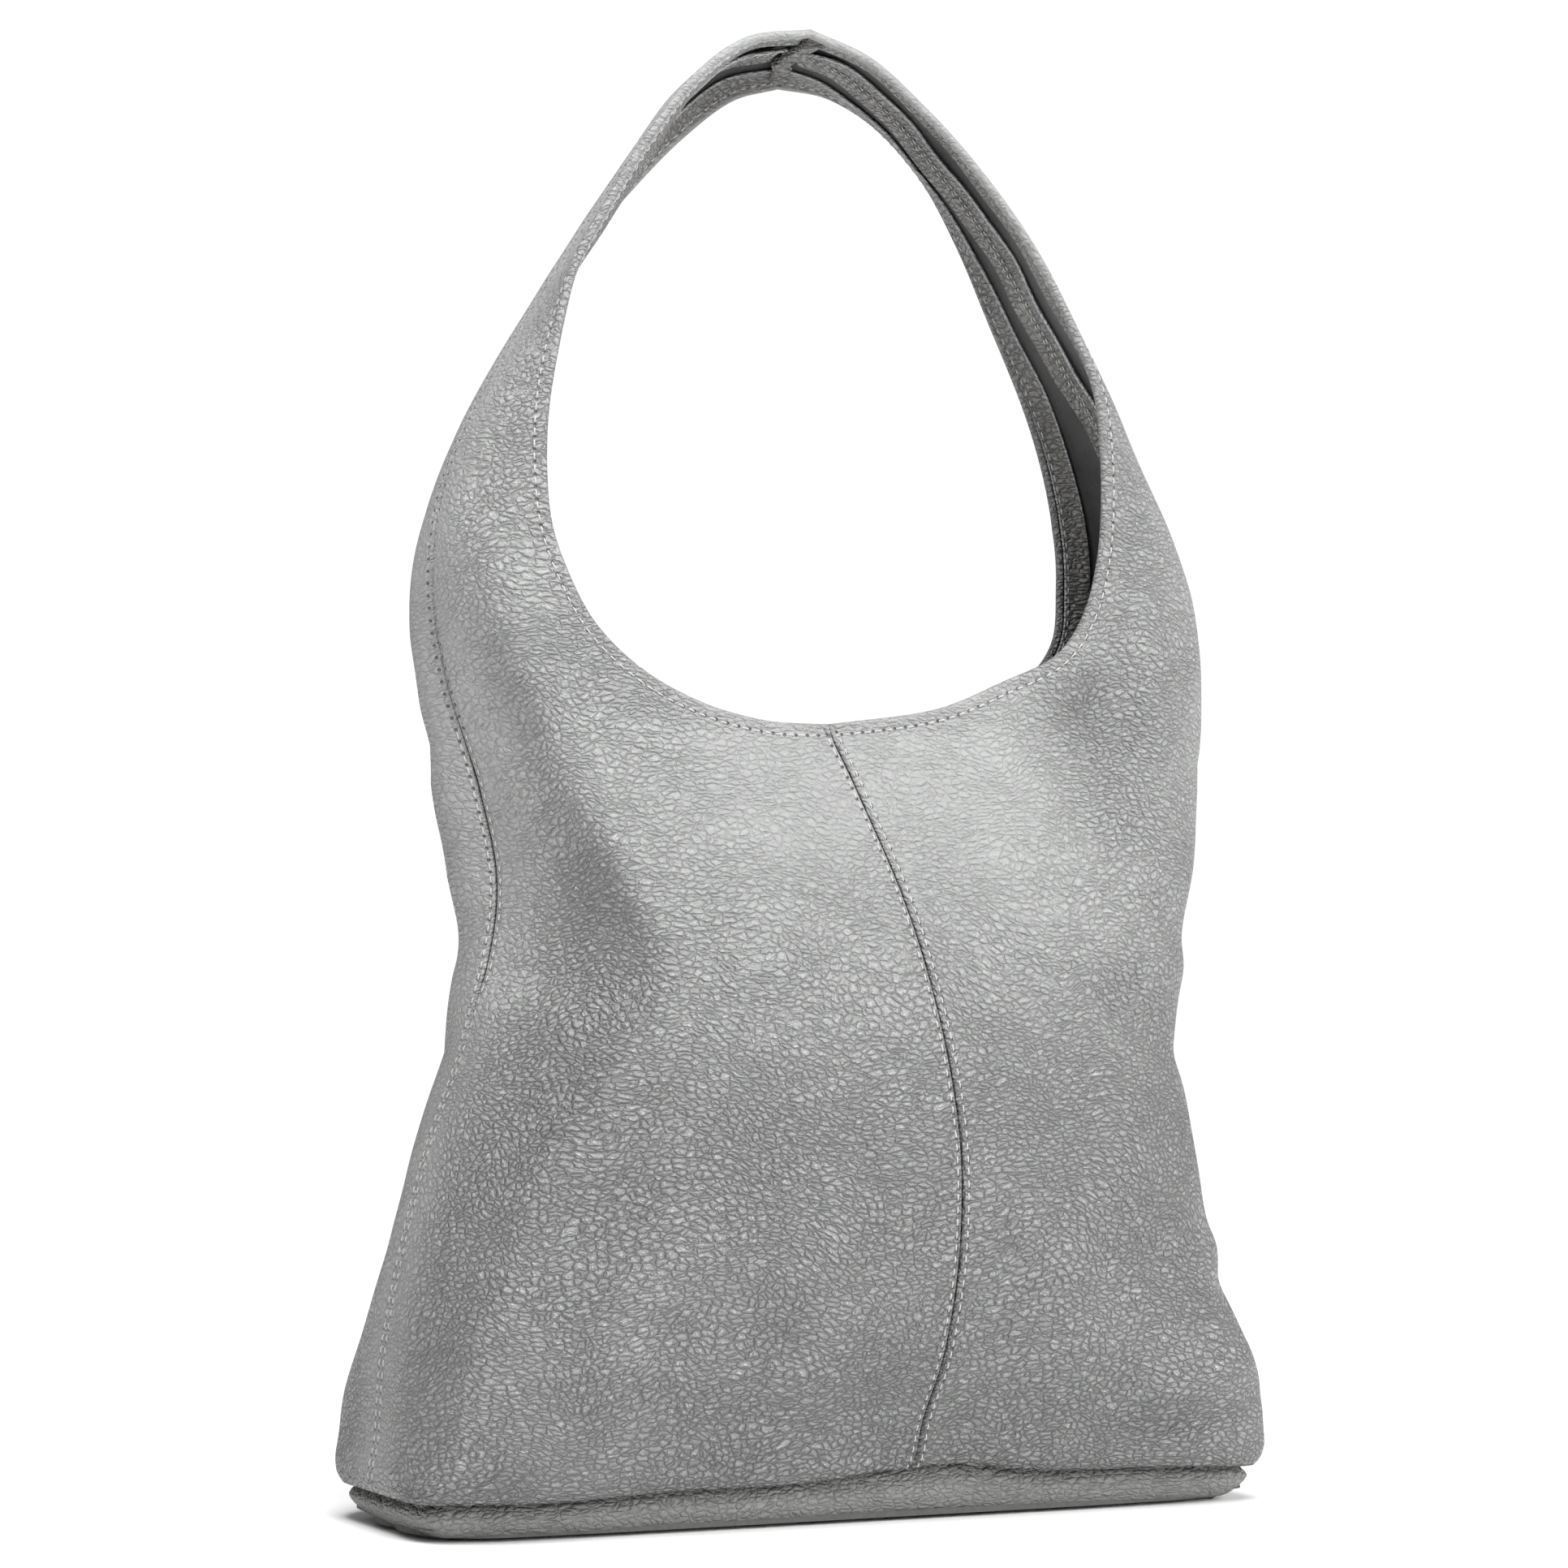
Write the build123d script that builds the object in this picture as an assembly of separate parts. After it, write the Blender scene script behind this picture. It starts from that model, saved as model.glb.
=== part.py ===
"""Hobo bag: soft leather shoulder bag whose four panels run up into one arched strap.

Millimetres. +Z up, +X along the bag's width, the front faces -Y.
The origin is on the floor, under the middle of the base.
Every leather piece of one quarter is built front left, then mirrored.
"""

import math
import os

from build123d import *

# ---- driving dimensions ----------------------------------------------------
LEATHER = 1.6            # panel leather
THIN_LEATHER = 1.2       # facings, seam tapes and patches
SEAM_PLAY = 0.05         # from the centre seam to each of its two panels
INNER_FACE = 2.0         # from the outside of a panel to the layer sewn inside it

BASE_HEIGHT = 14.0       # height of the seam between the panels and the base
BASE_LENGTH = 376.0
BASE_DEPTH = 120.0
BASE_SQUARENESS = 6.0    # superellipse power of the base outline
BASE_EDGE_RADIUS = 5.0
BOARD_THICKNESS = 2.5    # stiffener inside the base
BOARD_INSET = 8.0        # from the outside of the base to the board's edge

RIM_BOTTOM = 321.0       # height of the rim at the centre seam
RIM_DEPTH = 37.0         # from the middle plane to the front or back rim
APEX_HEIGHT = 617.0      # top of the strap
FACING_WIDTH = 16.0      # turned facing inside the rim
TAPE_HALF_WIDTH = 9.5    # tape inside the side seam, each side of the seam
TAPE_BOTTOM = 300.0      # its lower end
CROWN_TAPE_WIDTH = 14.0  # tape across the seam at the top of the strap

FOLD_HEIGHT = 405.0      # axis about which the strap folds down
FOLD_ANGLE = 60.0        # how far it folds to the front or to the back
FOLD_PLAY = 0.6          # half the play between bag and strap at that axis

TAB_WIDTH = 30.0         # leather tabs that carry the magnetic snap
TAB_LENGTH = 34.0
TAB_THICKNESS = 2.4
TAB_TOP = 317.0          # height of the tabs' sewn edge
TAB_FACE = 33.2          # from the middle plane to the tabs' sewn side
SNAP_DROP = 21.0         # snap centre below the tab's sewn edge
SNAP_RADIUS = 9.0
SNAP_SOCKET_THICKNESS = 3.0
SNAP_STUD_THICKNESS = 1.6
POST_RADIUS = 2.7
POST_HOLE_RADIUS = 3.0
POST_LENGTH = 2.4
SHANK_RADIUS = 2.0
SHANK_HOLE_RADIUS = 2.3
WASHER_RADIUS = 8.0
WASHER_THICKNESS = 0.8

PROFILE_POINTS = 9       # points of each section curve
CUTTER = 900.0           # size of the cutting blocks

# ---- sections of one quarter of the bag, side seam to centre seam or rim ---
# seam x and z, inner x and z, depth of the inner end from the middle plane,
# power of the superellipse between them, degrees of its quarter turn used.
# A negative inner x runs past the centre seam, where the panel is cut.
SECTIONS = [
    (BASE_LENGTH / 2, BASE_HEIGHT, -25, BASE_HEIGHT, BASE_DEPTH / 2, BASE_SQUARENESS, 90),
    (188, 60, -25, 60, 80, 4.6, 90),
    (180, 108, -25, 108, 92, 3.5, 90),
    (166, 160, -25, 160, 92, 2.9, 90),
    (151, 214, -25, 214, 80, 2.5, 90),
    (149, 262, -25, 262, 60, 2.3, 90),
    (155, 300, -27, 297, 44, 2.3, 90),
    (159, 323, -14, 318, RIM_DEPTH, 2.4, 90),
    (161, 334, 14, 321, RIM_DEPTH, 2.45, 89),
    (164, 350, 62, 328, RIM_DEPTH, 2.6, 84),
    (166, 378, 103, 352, RIM_DEPTH, 2.6, 78),
    (162, 410, 124, 388, RIM_DEPTH, 2.5, 72),
    (151, 440, 131, 428, RIM_DEPTH, 2.4, 66),
    (134, 473, 123, 467, RIM_DEPTH, 2.2, 60),
    (112, 508, 104, 502, RIM_DEPTH, 2.2, 58),
    (84, 547, 77.5, 541, RIM_DEPTH, 2.2, 58),
    (50, 587, 45, 580, RIM_DEPTH, 2.2, 58),
    (24, 609, 21, 600.5, RIM_DEPTH, 2.2, 58),
    (9, 616, 8, 607, RIM_DEPTH, 2.2, 58),
    (0, APEX_HEIGHT, 0, APEX_HEIGHT - 9, RIM_DEPTH, 2.2, 58),
]
RIM_LINE = [(0, RIM_BOTTOM), (62, 328), (103, 352), (124, 388), (131, 428)]


# ---- section geometry ------------------------------------------------------
def section_curve(section):
    """Dense points (along, out) from the side seam to the inner end."""
    seam_x, seam_z, inner_x, inner_z, depth, power, sweep = section
    whole = math.hypot(inner_x - seam_x, inner_z - seam_z)
    length = whole * seam_x / (seam_x - inner_x) if inner_x < 0 else whole
    end = math.radians(sweep)
    exponent = 2 / power
    along_scale = length / (1 - max(math.cos(end), 0) ** exponent)
    out_scale = depth / math.sin(end) ** exponent
    steps = 240
    points = []
    for i in range(steps):
        turn = end * i / steps
        along = along_scale * (1 - max(math.cos(turn), 0) ** exponent)
        points.append((along, out_scale * math.sin(turn) ** exponent))
    points.append((length, depth))
    if inner_x < 0:
        points.append((whole, depth))
    return points


def moved_inward(points, distance, square_end=False):
    """The curve moved by distance towards the inside of the bag.

    square_end keeps the far end in the plane of the centre seam.
    """
    moved = []
    last = len(points) - 1
    for i, (along, out) in enumerate(points):
        before = points[max(i - 1, 0)]
        after = points[min(i + 1, last)]
        run, rise = after[0] - before[0], after[1] - before[1]
        size = math.hypot(run, rise)
        if i == 0:
            run, rise, size = 0.0, 1.0, 1.0
        if i == last and square_end:
            run, rise, size = 1.0, 0.0, 1.0
        moved.append((along + distance * rise / size, out - distance * run / size))
    return moved


def length_of(points):
    return sum(math.dist(a, b) for a, b in zip(points, points[1:]))


def spaced(points, first, final):
    """PROFILE_POINTS points evenly spaced between two shares of the curve."""
    lengths = [0.0]
    for a, b in zip(points, points[1:]):
        lengths.append(lengths[-1] + math.dist(a, b))
    picked = []
    index = 0
    for i in range(PROFILE_POINTS):
        target = lengths[-1] * (first + (final - first) * i / (PROFILE_POINTS - 1))
        while index < len(points) - 2 and lengths[index + 1] < target:
            index += 1
        a, b = points[index], points[index + 1]
        step = lengths[index + 1] - lengths[index]
        share = 0.0 if step == 0 else (target - lengths[index]) / step
        picked.append((a[0] + (b[0] - a[0]) * share, a[1] + (b[1] - a[1]) * share))
    return picked


def placed(section, points):
    """Section points as vectors in the front left quarter."""
    seam_x, seam_z, inner_x, inner_z = section[:4]
    length = math.hypot(inner_x - seam_x, inner_z - seam_z)
    toward_x = (inner_x - seam_x) / length
    toward_z = (inner_z - seam_z) / length
    return [
        Vector(-(seam_x + toward_x * along), -out, seam_z + toward_z * along)
        for along, out in points
    ]


def layer_wire(section, outside, inside):
    """Outline of one leather layer in a section plane, from the side seam inwards.

    outside and inside are depths below the bag's outer surface.
    """
    curve = section_curve(section)
    uniform = [i / (PROFILE_POINTS - 1) for i in range(PROFILE_POINTS)]
    edges = []
    for depth in (outside, inside):
        layer = moved_inward(curve, depth, section[6] == 90)
        points = placed(section, spaced(layer, 0, 1))
        edges.append(Edge.make_spline(points, parameters=uniform))
    outer, inner = edges
    far_end = Edge.make_line(outer @ 1, inner @ 1)
    seam_end = Edge.make_line(inner @ 0, outer @ 0)
    return Wire([outer, far_end, inner, seam_end])


def quarter_layer(outside, inside):
    """A leather layer over the whole front left quarter, base seam to strap top."""
    layer = Solid.make_loft([layer_wire(s, outside, inside) for s in SECTIONS])
    left = Box(CUTTER, CUTTER, 2 * CUTTER, align=(Align.MAX, Align.CENTER, Align.CENTER))
    return layer & Pos(-SEAM_PLAY, 0, 0) * left


# ---- cutting blocks --------------------------------------------------------
def below_fold():
    """What belongs to the bag in the front half."""
    play = FOLD_PLAY / math.cos(math.radians(FOLD_ANGLE / 2))
    block = Box(CUTTER, CUTTER, CUTTER, align=(Align.CENTER, Align.CENTER, Align.MAX))
    return Pos(0, 0, FOLD_HEIGHT - play) * Rot(FOLD_ANGLE / 2, 0, 0) * block


def above_fold():
    """What belongs to the strap in the front half."""
    play = FOLD_PLAY / math.cos(math.radians(FOLD_ANGLE / 2))
    block = Box(CUTTER, CUTTER, CUTTER, align=(Align.CENTER, Align.CENTER, Align.MIN))
    return Pos(0, 0, FOLD_HEIGHT + play) * Rot(-FOLD_ANGLE / 2, 0, 0) * block


def rim_band():
    """Block that spans the facing's width below the rim, left half."""
    rim = [(5, RIM_BOTTOM)] + [(-x, z) for x, z in RIM_LINE[1:]]
    lower = []
    for i, (x, z) in enumerate(rim):
        before, after = rim[max(i - 1, 0)], rim[min(i + 1, len(rim) - 1)]
        run, rise = after[0] - before[0], after[1] - before[1]
        size = math.hypot(run, rise)
        if i == 0:
            run, rise, size = -1.0, 0.0, 1.0
        lower.append((x - FACING_WIDTH * rise / size, z + FACING_WIDTH * run / size))
    top = [(x, z + 20) for x, z in rim[:3]]
    top += [(x + 20, z) for x, z in rim[3:]]
    outline = [Vector(x, 0, z) for x, z in top]
    lower_edge = Edge.make_spline([Vector(x, 0, z) for x, z in lower])
    upper_edges = [Edge.make_line(a, b) for a, b in zip(outline, outline[1:])]
    closing = [
        Edge.make_line(outline[-1], lower_edge @ 1),
        Edge.make_line(lower_edge @ 0, outline[0]),
    ]
    face = Face(Wire(upper_edges + closing + [lower_edge]))
    return extrude(face, amount=CUTTER / 4, dir=(0, 1, 0), both=True)


# ---- leather pieces --------------------------------------------------------
def only_solid(shape):
    solids = sorted(shape.solids(), key=lambda s: s.volume)
    return solids[-1]


def left_and_right(name, piece):
    return {f"{name}_left": piece, f"{name}_right": piece.mirror(Plane.YZ)}


def four_quarters(name, piece):
    """The same piece in all four quarters, named side first."""
    quarters = {}
    for side, half in (("front", piece), ("back", piece.mirror(Plane.XZ))):
        quarters[f"{side}_left_{name}"] = half
        quarters[f"{side}_right_{name}"] = half.mirror(Plane.YZ)
    return quarters


def make_panels():
    layer = quarter_layer(0, LEATHER)
    nodes = four_quarters("panel", only_solid(layer & below_fold()))
    nodes.update(four_quarters("strap_arm", only_solid(layer & above_fold())))
    return nodes


def make_facings_and_tapes():
    """What is sewn inside the rim and inside the side seam."""
    layer = quarter_layer(INNER_FACE, INNER_FACE + THIN_LEATHER)
    bag_part, strap_part = only_solid(layer & below_fold()), only_solid(layer & above_fold())
    near_rim = Pos(0, FACING_WIDTH - RIM_DEPTH, 0) * Box(
        CUTTER, CUTTER, 2 * CUTTER, align=(Align.CENTER, Align.MAX, Align.CENTER)
    )
    near_seam = Pos(0, 0, TAPE_BOTTOM) * Box(
        CUTTER, 2 * TAPE_HALF_WIDTH, CUTTER, align=(Align.CENTER, Align.CENTER, Align.MIN)
    )
    nodes = four_quarters("rim_facing", only_solid(bag_part & rim_band()))
    nodes.update(four_quarters("strap_facing", only_solid(strap_part & near_rim)))
    for name, part in (("side_seam_tape", bag_part), ("strap_tape", strap_part)):
        half = only_solid(part & near_seam)
        nodes.update(left_and_right(name, only_solid(half + half.mirror(Plane.XZ))))
    return nodes


def make_crown_tape():
    """Tape across the strap, over the seam that joins its left and right half."""
    outside = INNER_FACE + THIN_LEATHER + 1.0
    wire = layer_wire(SECTIONS[-1], outside, outside + THIN_LEATHER)
    half = CROWN_TAPE_WIDTH / 2
    front = extrude(Face(wire), amount=half, dir=(1, 0, 0), both=True)
    return only_solid(front + front.mirror(Plane.XZ))


# ---- base ------------------------------------------------------------------
def base_outline(inset, height):
    """Outline of the base, drawn in by inset, as a face at the given height."""
    section = (BASE_LENGTH / 2, height, 0, height, BASE_DEPTH / 2, BASE_SQUARENESS, 90)
    curve = moved_inward(section_curve(section), inset, True)
    uniform = [i / (PROFILE_POINTS - 1) for i in range(PROFILE_POINTS)]
    points = placed(section, spaced(curve, 0, 1))
    front_left = Edge.make_spline(points, parameters=uniform)
    front_right = front_left.mirror(Plane.YZ)
    back_right = front_right.mirror(Plane.XZ)
    back_left = front_left.mirror(Plane.XZ)
    return Face(Wire([front_left, front_right, back_right, back_left]))


def slab(inset, bottom, top, radius=0.0):
    """Flat piece with the base's outline; radius rounds its lower edge."""
    piece = extrude(base_outline(inset, bottom), amount=top - bottom, dir=(0, 0, 1))
    if radius:
        piece = fillet(piece.faces().sort_by(Axis.Z)[0].edges(), radius)
    return piece


def make_base():
    shell = slab(0, 0, BASE_HEIGHT, BASE_EDGE_RADIUS)
    hollow = slab(LEATHER, LEATHER, BASE_HEIGHT + 5, BASE_EDGE_RADIUS - LEATHER)
    board_top = LEATHER + BOARD_THICKNESS
    return {
        "base_panel": only_solid(shell - hollow),
        "base_board": only_solid(slab(BOARD_INSET, LEATHER, board_top)),
        "base_cover": only_solid(slab(4, board_top, board_top + THIN_LEATHER)),
    }


# ---- magnetic snap ---------------------------------------------------------
def disc(radius, near, far, height):
    """Disc whose axis lies along Y, from near to far (both measured as y)."""
    low, high = min(near, far), max(near, far)
    cylinder = Cylinder(radius, high - low, rotation=(90, 0, 0))
    return Pos(0, (low + high) / 2, height) * cylinder


def make_tab():
    """Front tab, sewn along its upper edge, hanging inside the rim."""
    outer, inner = -TAB_FACE, -TAB_FACE + TAB_THICKNESS
    tab = Box(TAB_WIDTH, TAB_THICKNESS, TAB_LENGTH)
    tab = Pos(0, (outer + inner) / 2, TAB_TOP - TAB_LENGTH / 2) * tab
    lower_corners = tab.edges().filter_by(Axis.Y).sort_by(Axis.Z)[:2]
    tab = fillet(lower_corners, 9)
    return tab - disc(SHANK_HOLE_RADIUS, outer - 1, inner + 1, TAB_TOP - SNAP_DROP)


def make_snap():
    height = TAB_TOP - SNAP_DROP
    outer, inner = -TAB_FACE, -TAB_FACE + TAB_THICKNESS
    front_tab = make_tab()
    socket = disc(SNAP_RADIUS, inner, inner + SNAP_SOCKET_THICKNESS, height)
    socket = fillet(socket.faces().sort_by(Axis.Y)[-1].edges(), 0.8)
    mouth = inner + SNAP_SOCKET_THICKNESS - POST_LENGTH - 0.2
    socket -= disc(POST_HOLE_RADIUS, mouth, inner + 10, height)
    socket += disc(SHANK_RADIUS, outer - 0.4, inner, height)
    stud = disc(SNAP_RADIUS, inner, inner + SNAP_STUD_THICKNESS, height)
    stud = fillet(stud.faces().sort_by(Axis.Y)[-1].edges(), 0.6)
    stud += disc(POST_RADIUS, inner, inner + SNAP_STUD_THICKNESS + POST_LENGTH, height)
    stud += disc(SHANK_RADIUS, outer - 0.4, inner, height)
    washer = disc(WASHER_RADIUS, outer - WASHER_THICKNESS, outer, height)
    washer -= disc(SHANK_HOLE_RADIUS, outer - 3, outer + 3, height)
    return {
        "snap_tab_front": only_solid(front_tab),
        "snap_tab_back": only_solid(front_tab.mirror(Plane.XZ)),
        "snap_socket": only_solid(socket),
        "snap_stud": only_solid(stud.mirror(Plane.XZ)),
        "snap_washer_front": only_solid(washer),
        "snap_washer_back": only_solid(washer.mirror(Plane.XZ)),
    }


def main():
    nodes = {}
    nodes.update(make_panels())
    nodes.update(make_facings_and_tapes())
    nodes["crown_tape"] = make_crown_tape()
    nodes.update(make_base())
    nodes.update(make_snap())
    os.makedirs("parts", exist_ok=True)
    for name, solid in nodes.items():
        solid.label = name
        export_step(solid, f"parts/{name}.step")
        box = solid.bounding_box()
        print(name, solid.is_valid, round(solid.volume), box.min, box.max)


if __name__ == "__main__":
    main()
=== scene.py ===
"""Hobo bag in soft pebbled leather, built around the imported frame.

Curves are written in millimetres in the row frame and turned into metres when a
mesh is made. Front faces -Y, left is -X.
"""

import math
import random

import bmesh
import bpy
import numpy as np
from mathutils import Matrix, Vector
from mathutils.bvhtree import BVHTree
from mathutils.noise import noise as perlin


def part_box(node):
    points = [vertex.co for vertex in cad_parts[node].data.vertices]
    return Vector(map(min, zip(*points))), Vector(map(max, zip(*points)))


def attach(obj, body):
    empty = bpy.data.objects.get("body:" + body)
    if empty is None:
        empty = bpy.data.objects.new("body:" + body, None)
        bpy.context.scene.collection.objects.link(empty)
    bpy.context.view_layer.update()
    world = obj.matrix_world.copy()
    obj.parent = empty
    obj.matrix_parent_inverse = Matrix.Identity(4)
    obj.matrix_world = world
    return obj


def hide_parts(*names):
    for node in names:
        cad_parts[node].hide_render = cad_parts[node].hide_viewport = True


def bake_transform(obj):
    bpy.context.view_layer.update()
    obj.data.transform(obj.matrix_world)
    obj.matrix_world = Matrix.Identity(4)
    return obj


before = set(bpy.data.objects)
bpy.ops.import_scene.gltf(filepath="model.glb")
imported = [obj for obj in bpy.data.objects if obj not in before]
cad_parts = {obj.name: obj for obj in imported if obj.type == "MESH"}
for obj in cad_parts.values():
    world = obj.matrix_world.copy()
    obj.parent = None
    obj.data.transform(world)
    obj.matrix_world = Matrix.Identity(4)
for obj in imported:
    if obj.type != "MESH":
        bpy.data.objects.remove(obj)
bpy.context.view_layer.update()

MM = 0.001
LEATHER = 1.6          # panel leather
ROLL = 1.75            # radius of the rolled rim
FACING_WIDTH = 13.5    # turned facing inside the rim
FACING_DEPTH = 1.95    # from the skin's outside to the facing's top
FACING_THICK = 1.55
TAPE_HALF = 9.5        # inner tape, each side of the side seam
TAPE_DEPTH = 2.6
TAPE_THICK = 1.4
TAPE_START = 8         # the station where the side seams' tapes begin
TAPE_END_ROUND = 9     # how far back the right tape's end narrows
STITCH = 5.0           # stitch pitch of the topstitching
FINE_STITCH = 3.6      # stitch pitch of the tapes and tabs
SEAM_STITCH = 2.4      # stitch rows beside the seams
RIM_STITCH = 3.4       # stitch row beside the rim
ROW_STEP = 2.6         # mesh spacing along the seams
BASE_SEAM = 14         # height of the base seam
FAR = 99.0             # a gap too wide for any stitch hole

random.seed(11)

# The drape: stations from the base seam up to the top of the strap.
# Rows 0 to 9 run from a side seam to a centre seam, the others to the rim.
SEAM_LEFT = [(x, 0, z) for x, z in (
    (-188.5, 14), (-187.5, 40), (-185.5, 70), (-178.5, 108), (-167.5, 150), (-153, 190),
    (-141, 230), (-138, 262), (-145, 295), (-151, 315), (-157, 332), (-161, 347), (-164.5, 364),
    (-166, 382), (-165, 402), (-161, 422), (-152, 446), (-138, 472), (-117.5, 505), (-100, 532),
    (-76.5, 567), (-58, 592), (-34, 611), (-6, 618),
)]
SEAM_RIGHT = [(x, 0, z) for x, z in (
    (190.5, 14), (192, 40), (188, 70), (177, 108), (167.5, 150), (163.5, 190), (166.5, 230),
    (173, 262), (178.7, 295), (181, 314), (182, 328), (182.5, 341), (182, 356), (180.5, 374),
    (177, 394), (169.5, 417), (156, 445), (138.5, 474), (115, 508), (94, 540), (69.5, 568.5),
    (44.5, 593), (19, 610.5), (-6, 618),
)]
CENTRE_FRONT = [
    (20.5, -58, 14), (20, -73, 40), (21.5, -88, 70), (23.5, -97, 108), (23.5, -99, 150),
    (20, -94, 190), (15.5, -81, 230), (11, -65, 262), (3.5, -47, 295), (-6, -37, 323.5),
]
CENTRE_BACK = [
    (0, 60, 14), (0, 73, 40), (0, 84, 70), (0, 92, 108), (0, 94, 150),
    (0, 89, 190), (0, 77, 230), (0, 63, 262), (0, 48, 295), (0, 37, 321),
]
# half the depth from rim to rim, from beside the centre seam up to the strap's top
RIM_HALF_DEPTH = [37, 37, 37, 36.5, 36, 36, 36, 36, 35, 35, 34, 34, 34, 34]
FRONT, BACK = -1, 1


def rim_at(side, stations):
    """Rim points from their x and height."""
    return [(x, side * depth, z) for (x, z), depth in zip(stations, RIM_HALF_DEPTH)]


RIM_FRONT_LEFT = rim_at(FRONT, [
    (-33, 324.3), (-61.5, 330.8), (-88, 343.5), (-109.3, 362.3), (-123, 385.8), (-130.3, 407),
    (-132.5, 434), (-130.3, 464), (-121.5, 505), (-107.5, 532), (-86, 566), (-66, 591),
    (-42, 609), (-13, 615),
])
RIM_FRONT_RIGHT = rim_at(FRONT, [
    (43, 331), (76, 344), (101, 356), (115, 374), (122.5, 397), (125.5, 420), (126, 446),
    (122, 475), (106, 510), (87, 539), (62, 568), (39.5, 588), (15.5, 605.5), (-13, 615),
])
RIM_BACK_LEFT = rim_at(BACK, [
    (-34, 323), (-64, 331), (-92, 345), (-112, 364), (-125, 388), (-131, 408), (-131, 436),
    (-124, 464), (-102, 508), (-85, 536), (-63, 562), (-42, 583), (-20, 600), (3, 608),
])
RIM_BACK_RIGHT = rim_at(BACK, [
    (44, 325), (84, 333), (117, 347), (136, 368), (140, 394), (140, 418), (135, 446), (125, 477),
    (108, 514), (93, 546), (75, 574), (54, 594), (29, 606), (3, 608),
])
# the crest that runs down from the left shoulder, ends in a point at the waist and
# goes on to the front left corner: x at heights, and how flat the panel is beside it
CREST_X = ([10, 60, 107, 157, 200, 219, 235, 277, 315, 345, 400],
           [-182, -174, -160, -136, -104, -92, -93, -107, -123, -136, -153])
CREST_FLATNESS = ([20, 60, 110, 160, 200, 212, 222, 300, 350, 400],
                  [0, 0.2, 0.35, 0.5, 0.6, 0.78, 1, 1, 0.7, 0])
CREST_SOFTNESS = 5
# how square a panel's turn from side to front is, station by station
POWER_FRONT_LEFT = [
    9, 6, 4.8, 3.6, 3.0, 2.8, 2.9, 3.2, 3.8, 4.0, 4.0, 3.9, 3.7, 3.4, 3.1, 2.8,
    2.5, 2.3, 2.2, 2.2, 2.2, 2.2, 2.2, 2.2,
]
POWER_FRONT_RIGHT = [
    12, 7, 3.7, 2.8, 2.7, 2.6, 2.7, 3.0, 3.6, 3.9, 3.9, 3.8, 3.6, 3.4, 3.0, 2.7,
    2.4, 2.3, 2.2, 2.2, 2.2, 2.2, 2.2, 2.2,
]
POWER_BACK_LEFT = [
    10, 7, 3.7, 2.5, 2.3, 2.5, 2.9, 3.1, 3.2, 3.2, 3.2, 3.2, 3.2, 3.2, 3.0, 2.6,
    2.3, 2.0, 1.9, 1.9, 1.9, 2.0, 2.2, 2.2,
]
POWER_BACK_RIGHT = [
    9, 6, 4.6, 3.6, 3.2, 3.0, 3.0, 3.1, 3.2, 3.2, 3.2, 3.2, 3.2, 3.2, 3.0, 2.7,
    2.4, 2.2, 2.1, 2.1, 2.1, 2.2, 2.2, 2.2,
]
# how far a panel swells sideways past its side seam, at heights
SWELL = {
    "front_left": ([200, 240, 300, 360, 420], [0, 2, 3, 2, 0]),
    "front_right": ([210, 260, 320, 380, 440], [0, 1, 3, 2.5, 0]),
    "back_left": ([190, 222, 262, 300, 330, 370, 410, 440], [0, 9, 15, 16.5, 13, 6.5, 2, 0]),
    "back_right": ([200, 240, 300, 360, 420], [0, 3, 6, 4, 0]),
}
# how many degrees a panel turns, station by station
SWEEP = [90] * 10 + [89, 87, 84, 80, 76, 72, 67, 62, 58, 57, 57, 57, 57, 57]
CORNER = 9             # the station where the centre seam meets the rim


def between_stations(values, t):
    """Catmull-Rom through the stations at fractional station numbers t."""
    v = np.asarray(values, float)
    v = v.reshape(len(v), -1)
    v = np.vstack([2 * v[0] - v[1], v, 2 * v[-1] - v[-2]])
    i = np.clip(np.floor(t).astype(int), 0, len(v) - 4)
    f = (t - i)[:, None]
    a, b, c, d = v[i], v[i + 1], v[i + 2], v[i + 3]
    bend = (2 * a - 5 * b + 4 * c - d) * f**2
    return 0.5 * (2 * b + (c - a) * f + bend + (3 * b - a - 3 * c + d) * f**3)


def inner_curve(centre, rim, t):
    """The centre seam up to the corner, then the rim."""
    low = between_stations(centre, np.minimum(t, CORNER))
    high = between_stations([centre[-1]] + rim, np.maximum(t - CORNER, 0))
    return np.where((t < CORNER)[:, None], low, high)


def row_numbers():
    """Fractional station numbers of the mesh rows, about ROW_STEP apart."""
    curves = [np.asarray(SEAM_LEFT, float), np.asarray(CENTRE_FRONT + RIM_FRONT_LEFT, float)]
    rows = []
    for k in range(len(SEAM_LEFT) - 1):
        gap = max(np.linalg.norm(c[k + 1] - c[k]) for c in curves)
        n = max(3, math.ceil(gap / ROW_STEP))
        rows += [k + i / n for i in range(n)]
    return np.array(rows + [len(SEAM_LEFT) - 1.0])


ROWS = row_numbers()


def row_at(station):
    return int(np.argmin(abs(ROWS - station)))


CORNER_ROW = row_at(CORNER)
# mesh columns: distances from each edge of a panel, and how many lie between them
NEAR = np.array([0, 0.5, 1.0, 1.6, 2.3, 3.0, 3.7, 4.5, 5.6, 7.2, 9.6, 13.0])
NARROW = 42            # a panel narrower than this has closer columns
MIDDLE = 56
TURN_STEPS = 420       # points on each row's curve before the columns are laid out


def base_edge(x):
    """How far the bottom edge of the panels rises above the base seam's level."""
    rise = 1.0 + 1.8 * np.exp(-(((x - 20) / 120) ** 4))
    return rise + 4.2 * bell(x - 33, 46) + 0.5 * np.sin(x / 17)


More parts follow.
